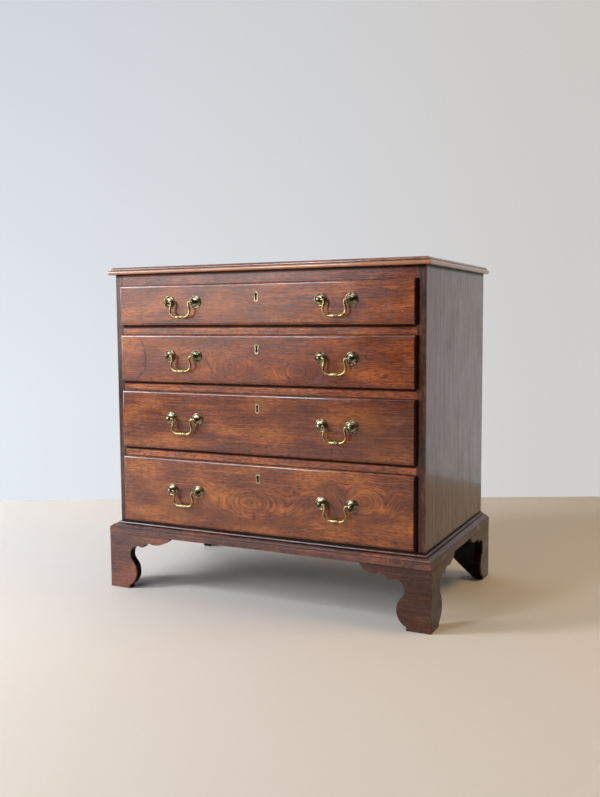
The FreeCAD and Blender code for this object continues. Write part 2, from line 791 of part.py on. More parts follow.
def lock_parts(drawer, keyhole):
    """The lock's outer shape, which its mortise takes, the hollow lock itself and its bolt."""
    name = f"drawer_{drawer}_lock"
    top = TONGUE_TOP[drawer]
    key_bottom = f"({KEYHOLE[drawer]} - keyhole_height / 2)"
    key_centre = f"({KEYHOLE[drawer]} + keyhole_height / 2 - keyhole_head)"
    plate_bottom = f"({key_bottom} - lock_margin)"
    cap_bottom = f"({plate_bottom} + lock_plate)"
    plate_face = f"({FRONT_BACK} - lock_plate)"
    under_plate = f"({top} - lock_plate)"
    case = fuse(
        f"{name}_case",
        block(f"{name}_plate", across("(lock_width / 2)"), (plate_face, FRONT_BACK), (plate_bottom, top)),
        block(f"{name}_top", across("(lock_width / 2)"), (LOCK_FRONT, FRONT_BACK), (under_plate, top)),
        block(f"{name}_cap", across("(lock_cap_width / 2)"), (LOCK_FRONT, FRONT_BACK), (cap_bottom, top)))
    cavity = block(
        f"{name}_cavity",
        across("(lock_cap_width / 2 - lock_wall)"),
        (f"{LOCK_FRONT} + lock_wall", plate_face),
        (f"{cap_bottom} + lock_wall", under_plate))
    slot = block(
        f"{name}_slot",
        across("(bolt_width / 2 + bolt_clearance)"),
        (f"{BOLT_FRONT} - bolt_clearance", f"{BOLT_BACK} + bolt_clearance"),
        (under_plate, top))
    pin = rod(f"{name}_pin", FreeCAD.Vector(0, -1, 0), "key_pin_radius", "lock_depth - lock_plate",
              "0", plate_face, key_centre)
    lock = fuse(f"{name}_whole", cut(name, case, cavity, slot, keyhole), pin)
    tail_top = f"({under_plate} - bolt_throw - bolt_clearance)"
    tail_bottom = f"({key_centre} + key_pin_radius + bolt_clearance)"
    bolt_depth = (BOLT_FRONT, BOLT_BACK)
    bolt = fuse(
        f"{name}_bolt_blank",
        block(f"{name}_bolt_head", across("(bolt_width / 2)"), bolt_depth, (tail_top, top)),
        block(f"{name}_bolt_tail", across("(bolt_tail_width / 2)"), bolt_depth, (tail_bottom, tail_top)))
    return case, lock, bolt


def handle_post(name, x, z, inward):
    """A ball-headed post through the drawer front, drilled from its inner side for the bail's pin."""
    shank_end = "lip_depth + lip_gap + tongue_depth + nut_thickness + shank_tail"
    collar_top = "-rosette_height - post_collar_height"
    post = turned(name, [
        ("0", shank_end),
        ("shank_radius", shank_end),
        ("shank_radius", "-rosette_height"),
        ("post_collar_radius", "-rosette_height"),
        ("post_collar_radius", collar_top),
        ("post_neck_radius", collar_top),
        ("post_neck_radius", f"-{NECK_TOP}"),
        ("ball_radius", f"-{BALL_STANDOFF}", "0", f"-{BALL_STANDOFF} - ball_radius"),
    ], x, FACE, z)
    mouth = f"{x} + {inward} * (ball_radius + shoulder_gap)"
    bore = rod(f"{name}_bore", FreeCAD.Vector(-float(inward), 0, 0), "pin_radius + pin_clearance",
               "shoulder_gap + pin_depth + pin_end_clearance", mouth, PIVOT, z)
    return cut(name, post, bore)


def rosette(name, x, z):
    """A turned disc with a beaded rim and a low dome, round the post."""
    hole = "(shank_radius + shank_clearance)"
    dome_foot = "(rosette_radius - 2 * rosette_bead)"
    return turned(name, [
        (hole, "0"),
        ("rosette_radius", "0"),
        ("rosette_radius", "-rosette_edge"),
        ("rosette_radius - rosette_bead", "-rosette_edge - rosette_bead", dome_foot, "-rosette_edge"),
        (f"({dome_foot} + post_collar_radius) / 2", "-(rosette_edge + rosette_height) / 2 - rosette_swell",
         "post_collar_radius", "-rosette_height"),
        (hole, "-rosette_height"),
    ], x, FACE, z)


def bail(name, x, z):
    """A swan-neck bail: pins that point outwards, necked arms, and a swelling grip with a middle knop."""
    shoulder = "(handle_pitch / 2 - ball_radius - shoulder_gap)"
    neck = f"({shoulder} - neck_run)"
    arm = f"({neck} - neck_bend)"
    arm_end = f"({arm} + arm_bend * (1 - cos(arm_angle)))"
    arm_drop = "(neck_bend + arm_bend * sin(arm_angle))"
    corner = f"({arm_end} - corner_bend * cos(arm_angle))"
    corner_drop = f"({arm_drop} + corner_bend * sin(arm_angle))"
    drop = f"({corner_drop} + corner_bend)"
    half_turn = "((90 - arm_angle) / 2)"
    right = [
        (shoulder, "0"),
        (neck, "0"),
        (f"{neck} - neck_bend * sqrt(0.5)", "-neck_bend * (1 - sqrt(0.5))", arm, "-neck_bend"),
        (f"{arm} + arm_bend * (1 - cos(arm_angle / 2))", "-neck_bend - arm_bend * sin(arm_angle / 2)",
         arm_end, f"-{arm_drop}"),
        (f"{corner} + corner_bend * cos({half_turn})", f"-{corner_drop} - corner_bend * sin({half_turn})",
         corner, f"-{drop}"),
    ]
    left = mirror_outline(right)
    body = doc.addObject("PartDesign::Body", name)
    path = sketch_on(body, "XZ_Plane")
    draw(path, right + reverse_outline(left), closed=False)
    section = sketch_on(body, "YZ_Plane")
    section.setExpression("AttachmentOffset.Base.z", bound(shoulder))
    section.addGeometry(Part.Circle(FreeCAD.Vector(), FreeCAD.Vector(0, 0, 1), value("wire_radius")))
    section.addConstraint(Sketcher.Constraint("Coincident", 0, 3, -1, 1))
    radius = section.addConstraint(Sketcher.Constraint("Radius", 0, value("wire_radius")))
    section.setExpression(f"Constraints[{radius}]", bound("wire_radius"))
    wire = body.newObject("PartDesign::AdditivePipe", f"{name}_wire")
    wire.Profile = section
    wire.Spine = (path, [])
    grip = sketch_on(body, "XZ_Plane")
    grip.setExpression("AttachmentOffset.Base.y", bound(f"-{drop}"))
    swell = [
        ("grip_length / 2", "0"),
        ("grip_length / 2", "wire_radius"),
        ("(grip_length + knop_width) / 4", "wire_radius + (grip_radius - wire_radius) * sqrt(0.5)",
         "knop_width / 2", "grip_radius"),
    ]
    back = reverse_outline(mirror_outline(swell))
    draw(grip, swell + [("0", "knop_radius", *back[0])] + back[1:])
    turning = body.newObject("PartDesign::Revolution", f"{name}_grip")
    turning.Profile = grip
    turning.ReferenceAxis = (grip, ["H_Axis"])
    place(body, x, PIVOT, z)
    pins = []
    for hand, side in SIDES.items():
        outwards = FreeCAD.Vector(float(side), 0, 0)
        pins.append(rod(f"{name}_{hand}_pin", outwards, "pin_radius", "shoulder_gap + pin_depth",
                        f"{x} + {side} * {shoulder}", PIVOT, z))
    return fuse(f"{name}_whole", body, *pins)


def make_handles(drawer):
    """Both handles of a drawer, and the holes that their posts need in its front."""
    z = HANDLE[drawer]
    fittings = []
    holes = []
    for hand, side in SIDES.items():
        middle = f"({side} * handle_spacing)"
        name = f"drawer_{drawer}_{hand}"
        subpart(f"{name}_bail", bail(f"{name}_bail_wire", middle, z))
        for end, end_side in SIDES.items():
            x = f"({middle} + {end_side} * handle_pitch / 2)"
            inward = SIDES["left" if end == "right" else "right"]
            hole = rod(f"{name}_{end}_hole", FreeCAD.Vector(0, 1, 0), "shank_radius + shank_clearance",
                       "lip_depth + lip_gap + tongue_depth + nut_thickness", x, FACE, z)
            nut = block(f"{name}_{end}_nut", (f"{x} - nut_width / 2", f"{x} + nut_width / 2"),
                        (FRONT_BACK, f"{FRONT_BACK} + nut_thickness"),
                        (f"{z} - nut_width / 2", f"{z} + nut_width / 2"))
            fittings.append(handle_post(f"{name}_{end}_post", x, z, inward))
            fittings.append(rosette(f"{name}_{end}_rosette", x, z))
            fittings.append(cut(f"{name}_{end}_nut", nut, hole))
            holes.append(hole)
    subpart(f"drawer_{drawer}_handle_posts", group(f"drawer_{drawer}_fittings", fittings))
    return holes


def make_drawer(drawer):
    name = f"drawer_{drawer}"
    bottom_low = f"({SIDE_BOTTOM[drawer]} + drawer_bottom_rise)"
    bottom_high = f"({bottom_low} + drawer_bottom_thickness)"
    bottom = block(f"{name}_panel", across(f"({INNER_HALF} + drawer_groove)"),
                   (f"{FRONT_BACK} - drawer_groove", DRAWER_END), (bottom_low, bottom_high))
    sides = group(f"{name}_side_pair", [drawer_side(drawer, hand, bottom) for hand in SIDES])
    back = block(f"{name}_back_blank", across(HALF_TONGUE),
                 (f"{DRAWER_END} - drawer_back_thickness", DRAWER_END),
                 (bottom_high, f"{SIDE_TOP[drawer]} - drawer_back_drop"))
    keyhole = prism(f"{name}_keyhole", "XZ_Plane", keyhole_outline(drawer, "0", "0"),
                    f"{FACE} - escutcheon_proud", f"{FRONT_BACK} - lock_plate")
    inlay = prism(f"{name}_inlay", "XZ_Plane", keyhole_outline(drawer, "escutcheon_rim", "escutcheon_cap"),
                  f"{FACE} - escutcheon_proud", f"{FACE} + escutcheon_depth")
    lock_case, lock, bolt = lock_parts(drawer, keyhole)
    holes = make_handles(drawer)
    front = cut(f"{name}_face", front_blank(drawer), sides, bottom, lock_case, keyhole, inlay, *holes)
    subpart(f"{name}_front", front)
    subpart(f"{name}_sides", sides)
    subpart(f"{name}_back", cut(f"{name}_rear", back, sides))
    subpart(f"{name}_bottom", bottom)
    subpart(f"{name}_escutcheon", cut(f"{name}_inlaid", inlay, keyhole))
    subpart(f"{name}_lock", lock)
    subpart(f"{name}_lock_bolt", bolt)


make_top()
make_sides(make_rails() + [make_back()])
make_base_moulding()
make_feet()
make_glue_blocks()
for drawer in NUMBER_WORDS:
    make_drawer(drawer)

doc.recompute()
failed = [item.Label for item in doc.Objects if {"Invalid", "Error"} & set(item.State)]
broken = [item.Label for item in subparts if item.Shape.isNull() or not item.Shape.isValid()]
if failed or broken:
    sys.exit(f"failed to build: {failed}, not valid: {broken}")

os.makedirs("parts", exist_ok=True)
for item in subparts:
    item.Shape.exportStep(f"parts/{item.Label}.step")
print(f"{len(subparts)} sub-parts, {sum(len(item.Shape.Solids) for item in subparts)} solids")
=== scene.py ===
import json
import math

import bpy
from mathutils import Matrix, Vector


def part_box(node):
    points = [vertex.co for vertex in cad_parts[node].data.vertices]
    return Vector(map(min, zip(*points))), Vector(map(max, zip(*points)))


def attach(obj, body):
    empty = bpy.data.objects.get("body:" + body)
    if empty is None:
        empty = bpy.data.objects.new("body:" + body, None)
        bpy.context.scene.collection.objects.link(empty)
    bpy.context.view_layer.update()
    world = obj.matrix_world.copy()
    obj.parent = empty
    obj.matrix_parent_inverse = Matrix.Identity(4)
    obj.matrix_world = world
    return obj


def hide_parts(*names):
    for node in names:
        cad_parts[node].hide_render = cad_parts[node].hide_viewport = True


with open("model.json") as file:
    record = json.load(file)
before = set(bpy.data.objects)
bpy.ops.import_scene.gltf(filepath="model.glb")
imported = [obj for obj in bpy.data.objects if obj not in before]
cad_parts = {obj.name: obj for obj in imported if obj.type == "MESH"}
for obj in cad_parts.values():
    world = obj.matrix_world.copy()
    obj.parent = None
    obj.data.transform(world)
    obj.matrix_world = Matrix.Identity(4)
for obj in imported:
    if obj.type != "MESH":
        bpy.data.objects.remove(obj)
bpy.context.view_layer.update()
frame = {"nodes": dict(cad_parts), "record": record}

# Bachelor's chest in waxed mahogany with brass swan-neck handles. Metres, +Z up, drawers facing -Y.

MM = 0.001
TO_MM = [1 / MM] * 3
# corners nearer than WELD are one corner, and faces within FLAT of each other are one face
WELD = 0.001 * MM
FLAT = math.radians(0.5)
# edges over SHARP are worn round in EASE_STEPS steps, and edges under SMOOTH are shaded round
SHARP = math.radians(40)
SMOOTH = math.radians(35)
EASE_STEPS = 2
# how far wear has rounded the edges: rails, fine work, drawer boxes, boards, and feet and back
RAIL_EASE = 0.4 * MM
FINE_EASE = 0.5 * MM
BOX_EASE = 0.6 * MM
BOARD_EASE = 0.8 * MM
ROUGH_EASE = 1.2 * MM
DRAWERS = (1, 2, 3, 4)
HANDS = ("left", "right")
# knots and marks go right through a board, so their size in its thickness is without end
THROUGH = 1e6

# How a board lies: turns its length to X, its face's width to Y and its thickness to Z.
QUARTER = math.pi / 2
BOARD_TURNS = {
    "long_front": (-QUARTER, 0, 0),
    "long_flat": (0, 0, 0),
    "upright_side": (0, QUARTER, 0),
    "upright_back": (QUARTER, 0, QUARTER),
    "deep_side": (-QUARTER, -QUARTER, 0),
}


# Selecting and shaping

# edit mode picks faces, not corners or edges
bpy.context.tool_settings.mesh_select_mode = (False, False, True)


def only(piece):
    """Makes one object the only selected and active one."""
    bpy.ops.object.select_all(action="DESELECT")
    piece.select_set(True)
    bpy.context.view_layer.objects.active = piece


def apply_modifier(piece, kind, **settings):
    """Adds one modifier with its settings and applies it."""
    modifier = piece.modifiers.new(kind.lower(), kind)
    for name, value in settings.items():
        setattr(modifier, name, value)
    only(piece)
    bpy.ops.object.modifier_apply(modifier=modifier.name)


def solids_of(mesh):
    """Lists the polygons of each closed solid: a solid is whole where no edge is left with one face."""
    groups = []
    group = set()
    open_edges = set()
    for polygon in mesh.polygons:
        corners = [tuple(round(value / WELD) for value in mesh.vertices[i].co) for i in polygon.vertices]
        for start, end in zip(corners, corners[1:] + corners[:1]):
            if start != end:
                open_edges ^= {frozenset((start, end))}
        group.add(polygon.index)
        if not open_edges:
            groups.append(group)
            group = set()
    return groups


def solid_copy(node, polygons, name):
    """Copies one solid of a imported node, merged, with its flat faces whole again."""
    piece = bpy.data.objects.new(name, frame["nodes"][node].data.copy())
    bpy.context.collection.objects.link(piece)
    only(piece)
    bpy.ops.mesh.customdata_custom_splitnormals_clear()
    for polygon in piece.data.polygons:
        polygon.select = polygon.index not in polygons
    bpy.ops.object.mode_set(mode="EDIT")
    bpy.ops.mesh.delete(type="FACE")
    bpy.ops.mesh.select_all(action="SELECT")
    bpy.ops.mesh.remove_doubles(threshold=WELD)
    bpy.ops.mesh.dissolve_limited(angle_limit=FLAT)
    bpy.ops.object.mode_set(mode="OBJECT")
    return piece


def mark_wear(piece):
    """Turns the faces that the bevel made, in material slot 1, into a wear value of 1 on slot 0."""
    wear = piece.data.attributes.new("wear", "FLOAT", "FACE")
    for polygon in piece.data.polygons:
        wear.data[polygon.index].value = float(polygon.material_index)
        polygon.material_index = 0


def eased(node, materials, radius):
    """Makes the copy with worn edges that stands for a node. Its solids take the materials in turn."""
    body = next(name for name, members in frame["record"]["behaviour"]["bodies"].items() if node in members)
    pieces = []
    for number, polygons in enumerate(solids_of(frame["nodes"][node].data)):
        piece = solid_copy(node, polygons, f"eased_{node}_{number}")
        material = materials[number % len(materials)]
        piece.data.materials.clear()
        piece.data.materials.append(material)
        piece.data.materials.append(material)
        apply_modifier(piece, "BEVEL", limit_method="ANGLE", angle_limit=SHARP, width=radius,
                       segments=EASE_STEPS, use_clamp_overlap=True, material=1)
        mark_wear(piece)
        piece.data.materials.pop(index=1)
        pieces.append(piece)
    for piece in pieces:
        piece.select_set(True)
    bpy.context.view_layer.objects.active = pieces[0]
    if len(pieces) > 1:
        bpy.ops.object.join()
    whole = bpy.context.view_layer.objects.active
    whole.name = f"eased_{node}"
    only(whole)
    bpy.ops.object.shade_smooth_by_angle(angle=SMOOTH)
    apply_modifier(whole, "WEIGHTED_NORMAL", keep_sharp=True)
    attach(whole, body)
    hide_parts(node)


# Materials

def linear(code):
    """Turns an sRGB hex colour into the linear values that shaders take."""
    values = [int(code[i:i + 2], 16) / 255 for i in (0, 2, 4)]
    return [v / 12.92 if v <= 0.04045 else ((v + 0.055) / 1.055) ** 2.4 for v in values] + [1.0]


def add(tree, kind, inputs=None, out=0, stops=(), **settings):
    """Adds one node and gives one of its outputs.

    Inputs are values or links by socket. MapRange has 0 the value, 1 and 2 the range it comes from, 3 and 4
    the range it goes to. Mix has 0 the share, 2 and 3 two numbers, 6 and 7 two colours, and gives a colour
    at out 2. Mapping has 0 the place, 1 its shift, 2 its turn, 3 its scale. Stops are hex colours or depths.
    """
    node = tree.nodes.new("ShaderNode" + kind)
    for name, value in settings.items():
        setattr(node, name, value)
    for socket, value in (inputs or {}).items():
        if isinstance(value, bpy.types.NodeSocket):
            tree.links.new(value, node.inputs[socket])
        else:
            node.inputs[socket].default_value = value
    # a new ramp has two stops already
    for number, (place, value) in enumerate(stops):
        ramp = node.color_ramp.elements
        element = ramp[number] if number < 2 else ramp.new(place)
        element.position = place
        element.color = linear(value) if isinstance(value, str) else [value, value, value, 1.0]
    return node.outputs[out] if node.outputs else None


def empty_material(name):
    """Makes a material with no nodes yet."""
    material = bpy.data.materials.new(name)
    material.use_nodes = True
    material.node_tree.nodes.clear()
    return material, material.node_tree


# how far apart the noise patterns of one board are taken, so that none repeats another
APART = (7.3, -3.1, 2.7)


def patterns(tree, seed, shapes):
    """Draws noise to real sizes. Each shape has a place in mm, three sizes of its spots, and its detail."""
    drawn = {}
    for number, (name, (place, sizes, detail)) in enumerate(shapes.items()):
        shift = [seed + APART[0] * number, seed + APART[1] * number, APART[2] * number]
        scaled = add(tree, "Mapping", {0: place, 1: shift, 3: [1 / size for size in sizes]})
        drawn[name] = add(tree, "TexNoise", {"Vector": scaled, "Scale": 1.0, "Detail": detail})
    return drawn


# the quick wander of the growth layers as a share of the slow one, and their slant through a board
QUICK_SHARE = 0.2
SLANT = 0.4


def growth(tree, grain, seed, bend, knots):
    """The place in the growth layers, in mm: they wander along the board and close in rings on each knot."""
    along = add(tree, "SeparateXYZ", {0: grain})
    length, width, depth = along.node.outputs
    wander = patterns(tree, seed, {
        "slow": (grain, (330, 95, 95), 1.0),
        "quick": (grain, (70, 22, 22), 1.0),
    })
    layers = add(tree, "MapRange", {0: wander["slow"], 3: -bend, 4: bend})
    layers = add(tree, "Math", {0: wander["quick"], 1: bend * QUICK_SHARE, 2: layers},
                 operation="MULTIPLY_ADD")
    layers = add(tree, "Math", {0: depth, 1: SLANT, 2: layers}, operation="MULTIPLY_ADD")
    for u, v, reach, rise in knots:
        off = add(tree, "Mapping", {0: grain, 1: (u, v, 0), 3: (reach, rise, THROUGH)},
                  vector_type="TEXTURE")
        away = add(tree, "VectorMath", {0: off}, out="Value", operation="LENGTH")
        across = add(tree, "SeparateXYZ", {0: off}, out="Y")
        ring = add(tree, "Math", {0: away, 1: across}, operation="SUBTRACT")
        share = add(tree, "MapRange", {0: away, 1: 0.3, 2: 1, 3: rise, 4: 0},
                    interpolation_type="SMOOTHERSTEP")
        layers = add(tree, "Math", {0: ring, 1: share, 2: layers}, operation="MULTIPLY_ADD")
    layers = add(tree, "Math", {0: layers, 1: width}, operation="ADD")
    return add(tree, "CombineXYZ", {0: length, 1: layers, 2: depth})


def spots(tree, grain, ragged, marks):
    """How deep each place lies in ragged oval spots.

    Each mark has its place, half length and half width in mm, its turn in degrees and its depth.
    """
    deepest = add(tree, "Value")
    for u, v, half_length, half_width, turn, depth in marks:
        off = add(tree, "Mapping", {0: grain, 1: (u, v, 0), 2: (0, 0, math.radians(turn)),
                                    3: (half_length, half_width, THROUGH)}, vector_type="TEXTURE")
        away = add(tree, "VectorMath", {0: off}, out="Value", operation="LENGTH")
        away = add(tree, "Math", {0: ragged, 1: away}, operation="ADD")
        deep = add(tree, "MapRange", {0: away, 1: 0.9, 2: 1.6, 3: depth, 4: 0})
        deepest = add(tree, "Math", {0: deepest, 1: deep}, operation="MAXIMUM")
    return deepest


def bands(tree, place, strips):
    """How deep each place lies in strips across an axis.

    Each strip has its axis, its start and end in metres, and depths at places from 0 to 1 between them.
    """
    deepest = add(tree, "Value")
    for axis, start, end, depths in strips:
        along = add(tree, "SeparateXYZ", {0: place}, out=axis)
        along = add(tree, "MapRange", {0: along, 1: start, 2: end})
        deep = add(tree, "ValToRGB", {0: along}, stops=depths)
        deepest = add(tree, "Math", {0: deepest, 1: deep}, operation="MAXIMUM")
    return deepest


# relief in mm, depths of specks and stains, shine of clean wood and of wood under dirt and painted shade,
# roughness of the polish
PORE_DEPTH = 0.04
LINE_RELIEF = 0.05
SPECK_DEPTH = 0.7
STAIN_DEPTH = 0.35
CLEAN_SHINE = 0.36
DIRT_AND_SHADE_SHINE = 0.04
POLISH_ROUGHNESS = 0.08


def wood(name, look, lie, seed, knots=(), marks=(), glows=(), dirt_and_shade=(), polish=(), worn_and_highlit=()):
    """Planed board: streaks, fine lines, shimmer, blotches, pores, dark marks, wear, dirt, painted shade and
    polish.
    """
    material, tree = empty_material(name)
    place = add(tree, "TexCoord", out="Object")
    grain = add(tree, "Mapping", {0: place, 2: BOARD_TURNS[lie], 3: TO_MM})
    layers = growth(tree, grain, seed, look["bend"], knots)
    # real pores are about 0.2 mm wide, drawn at 2 mm so that they show
    drawn = patterns(tree, seed, {
        "streak": (layers, (190, look["streak"], 60), 3.0),
        "line": (layers, (45, look["line"], 20), 2.0),
        "pore": (layers, (12, 2.0, 4), 0.0),
        "fibre": (layers, (18, 2.0, 5), 1.0),
        "ribbon": (layers, (14, 60, 60), 1.0),
        "blotch": (grain, (130, 42, 42), 3.0),
        "stain": (grain, (60, 26, 26), 3.0),
        "speck": (grain, (7, 5, 5), 1.0),
        "gloss": (grain, (60, 40, 40), 2.0),
        "wave": (grain, (110, 42, 42), 1.0),
    })
    # the figure, then duller blotches, brighter places and shimmer over it
    figure = add(tree, "Mix", {0: look["line_share"], 2: drawn["streak"], 3: drawn["line"]})
    figure = add(tree, "MapRange", {0: figure, 1: 0.5 - look["contrast"], 2: 0.5 + look["contrast"]})
    colour = add(tree, "ValToRGB", {0: figure},
                 stops=[(0.0, look["deep"]), (1.0, look["light"]), (0.5, look["middle"])])
    blotch = add(tree, "MapRange", {0: drawn["blotch"], 1: 0.48, 2: 0.7, 3: 0, 4: look["blotch"]})
    colour = add(tree, "Mix", {0: blotch, 6: colour, 7: linear(look["flush"])}, out=2, data_type="RGBA")
    glow = add(tree, "MapRange", {0: drawn["blotch"], 1: 0.5, 2: 0.3, 3: 0, 4: look["blotch"]})
    glow = add(tree, "Math", {0: glow, 1: spots(tree, grain, drawn["stain"], glows)}, operation="MAXIMUM")
    colour = add(tree, "Mix", {0: glow, 6: colour, 7: linear(look["glow"])}, out=2, data_type="RGBA")
    for pattern in ("ribbon", "fibre"):
        shimmer = add(tree, "MapRange", {0: drawn[pattern], 1: 0.3, 2: 0.7, 3: 1 - look[pattern],
                                         4: 1 + look[pattern]})
        colour = add(tree, "Mix", {0: 1.0, 6: colour, 7: shimmer}, out=2, data_type="RGBA",
                     blend_type="MULTIPLY")
    # pores, specks, stains and marks, all dark
    pores = add(tree, "MapRange", {0: drawn["pore"], 1: 0.55, 2: 0.7})
    dark = add(tree, "Math", {0: pores, 1: look["pores"]}, operation="MULTIPLY")
    specks = add(tree, "MapRange", {0: drawn["speck"], 1: 0.72, 2: 0.8, 3: 0, 4: SPECK_DEPTH})
    stains = add(tree, "MapRange", {0: drawn["stain"], 1: 0.52, 2: 0.85, 3: 0, 4: STAIN_DEPTH})
    dark = add(tree, "Math", {0: dark, 1: specks}, operation="MAXIMUM")
    dark = add(tree, "Math", {0: dark, 1: stains}, operation="MAXIMUM")
    dark = add(tree, "Math", {0: dark, 1: spots(tree, grain, drawn["stain"], marks)}, operation="MAXIMUM")
    colour = add(tree, "Mix", {0: dark, 6: colour, 7: linear(look["pore"])}, out=2, data_type="RGBA")
    # rubbed edges and worn bands, partly a painted highlight, are pale; dirt and painted shade lie over all
    wear = add(tree, "Attribute", out="Fac", attribute_name="wear")
    rubbed = add(tree, "MapRange", {0: drawn["gloss"], 1: 0.4, 2: 0.6, 3: 0, 4: look["rubbed"]})
    rubbed = add(tree, "Math", {0: wear, 1: rubbed}, operation="MULTIPLY")
    rubbed = add(tree, "Math", {0: rubbed, 1: bands(tree, place, worn_and_highlit)}, operation="MAXIMUM")
    colour = add(tree, "Mix", {0: rubbed, 6: colour, 7: linear(look["light"])}, out=2, data_type="RGBA")
    dirt_and_shade_depth = bands(tree, place, dirt_and_shade)
    colour = add(tree, "Mix", {0: dirt_and_shade_depth, 6: colour, 7: linear(look["pore"])}, out=2, data_type="RGBA")
    # uneven gloss, and relief from pores, planing waves and fine lines
    rough = add(tree, "MapRange", {0: drawn["gloss"], 1: 0.3, 2: 0.7, 3: look["rough"] - 0.06,
                                   4: look["rough"] + 0.08})
    height = add(tree, "Math", {0: pores, 1: -PORE_DEPTH}, operation="MULTIPLY")
    height = add(tree, "Math", {0: drawn["wave"], 1: look["wave"], 2: height}, operation="MULTIPLY_ADD")
    for pattern in ("line", "fibre"):
        height = add(tree, "Math", {0: drawn[pattern], 1: LINE_RELIEF, 2: height}, operation="MULTIPLY_ADD")
    normal = add(tree, "Bump", {"Strength": 1.0, "Distance": MM, "Height": height})
    # open grain breaks up the polish, and dirt and painted shade dull the shine as well as the colour
    coat = add(tree, "Math", {0: bands(tree, place, polish), 1: look["coat"]}, operation="MAXIMUM")
    open_grain = add(tree, "Mix", {0: 0.5, 2: drawn["streak"], 3: drawn["line"]})
    sunk = add(tree, "MapRange", {0: open_grain, 1: 0.4, 2: 0.6, 3: 1.0, 4: 1 - look["sunk"]})
    coat = add(tree, "Math", {0: coat, 1: sunk}, operation="MULTIPLY")
    coat = add(tree, "MapRange", {0: dirt_and_shade_depth, 3: coat, 4: 0.0})
    shine = add(tree, "MapRange", {0: dirt_and_shade_depth, 3: CLEAN_SHINE, 4: DIRT_AND_SHADE_SHINE})
    shader = add(tree, "BsdfPrincipled", {"Base Color": colour, "Roughness": rough, "Normal": normal,
                                          "Specular IOR Level": shine, "Coat Weight": coat,
                                          "Coat Roughness": POLISH_ROUGHNESS})
    add(tree, "OutputMaterial", {"Surface": shader})
    return material


# Each look has its colours, the sizes of its figure in mm, and its shares and depths.
# Old mahogany drawer fronts, hand-planed, polished and waxed: orange-red satin with dark pores.
MAHOGANY = {
    "deep": "4A2010", "middle": "77371A", "light": "A25927", "flush": "55291D", "glow": "A85D25",
    "pore": "220F09",
    "bend": 9, "streak": 6, "line": 1.3, "line_share": 0.4, "contrast": 0.19, "blotch": 0.7,
    "ribbon": 0.06, "fibre": 0.32, "pores": 0.58, "rubbed": 0.4, "rough": 0.2, "wave": 0.08, "coat": 0.3,
    "sunk": 0.1,
}
# The top rail is of a plainer, browner board, and the top is flatter and paler, its pale tone also the
# painted highlight on its rubbed nose.
PLAIN_MAHOGANY = dict(MAHOGANY, deep="482019", middle="703526", light="985638", flush="4E2A26",
                      glow="8E5030")
TOP_MAHOGANY = dict(MAHOGANY, light="B07850", wave=0.03)
# The rails between the drawers are paler, and the fronts with knots have a finer and fainter figure.
RAIL_MAHOGANY = dict(MAHOGANY, deep="5E2E20", middle="8E4A2C", light="BC7242")
KNOTTY_MAHOGANY = dict(MAHOGANY, streak=4, line=2, line_share=0.5, contrast=0.24)
# The lower drawers are a little deeper in colour than the upper ones.
DEEP_MAHOGANY = dict(MAHOGANY, deep="4A2113", middle="72381D", light="9E592C", glow="A25E2A")
DEEP_KNOTTY_MAHOGANY = dict(KNOTTY_MAHOGANY, deep="4C2211", middle="7A3D1B", light="A65F2A", glow="AE652A")
# The carcase's sides, base and feet are darker still, with more wax and dirt on them.
DARK_MAHOGANY = dict(MAHOGANY, deep="2C1510", middle="48251B", light="68402E", flush="38211C", glow="633A28",
                     pore="160B08", rubbed=0.5, rough=0.3, coat=0.1)
# The base's front is from a paler, redder board. The left front foot takes the same look and so is paler
# than the right one, a painted sheen from the window on its left.
PALE_MAHOGANY = dict(DARK_MAHOGANY, deep="3A1E1A", middle="5C342B", light="82523F", flush="4A2E2C",
                      glow="8A4E36", contrast=0.15, blotch=0.8, coat=0.4)
# The sides of the feet are darker still, almost black.
BLACK_MAHOGANY = dict(DARK_MAHOGANY, deep="1D110D", middle="301C15", light="4A2F22", glow="44291D")
# The sides have a harder polish that mirrors the room at a low angle, between lines of sunken grain.
SIDE_MAHOGANY = dict(DARK_MAHOGANY, rough=0.2, wave=0.06, coat=0.0, sunk=0.8)
# Quartered oak left bare, planed, brown with age and handling.
OAK = {
    "deep": "6B4A2B", "middle": "8F6A42", "light": "AD8759", "flush": "7A5836", "glow": "A47D4E",
    "pore": "3E2A18",
    "bend": 6, "streak": 8, "line": 1.8, "line_share": 0.5, "contrast": 0.18, "blotch": 0.5,
    "ribbon": 0.04, "fibre": 0.1, "pores": 0.5, "rubbed": 0.3, "rough": 0.6, "wave": 0.1, "coat": 0.0,
    "sunk": 0.0,
}
# Deal boards, sawn and left bare, darkened by dust and smoke.
PINE = {
    "deep": "6A4526", "middle": "8E663C", "light": "AC8453", "flush": "5F4630", "glow": "A07A4A",
    "pore": "3B2616",
    "bend": 22, "streak": 10, "line": 3.0, "line_share": 0.4, "contrast": 0.16, "blotch": 0.6,
    "ribbon": 0.03, "fibre": 0.08, "pores": 0.15, "rubbed": 0.3, "rough": 0.7, "wave": 0.15, "coat": 0.0,
    "sunk": 0.0,
}
# Deal under the chest and inside its feet, painted near black as painted shade.
SHADE_BLACK_PINE = dict(PINE, deep="140E0B", middle="1C1410", light="281C15", flush="120D0A", glow="261B14",
                  pore="0C0806", rubbed=0.1, rough=0.85)

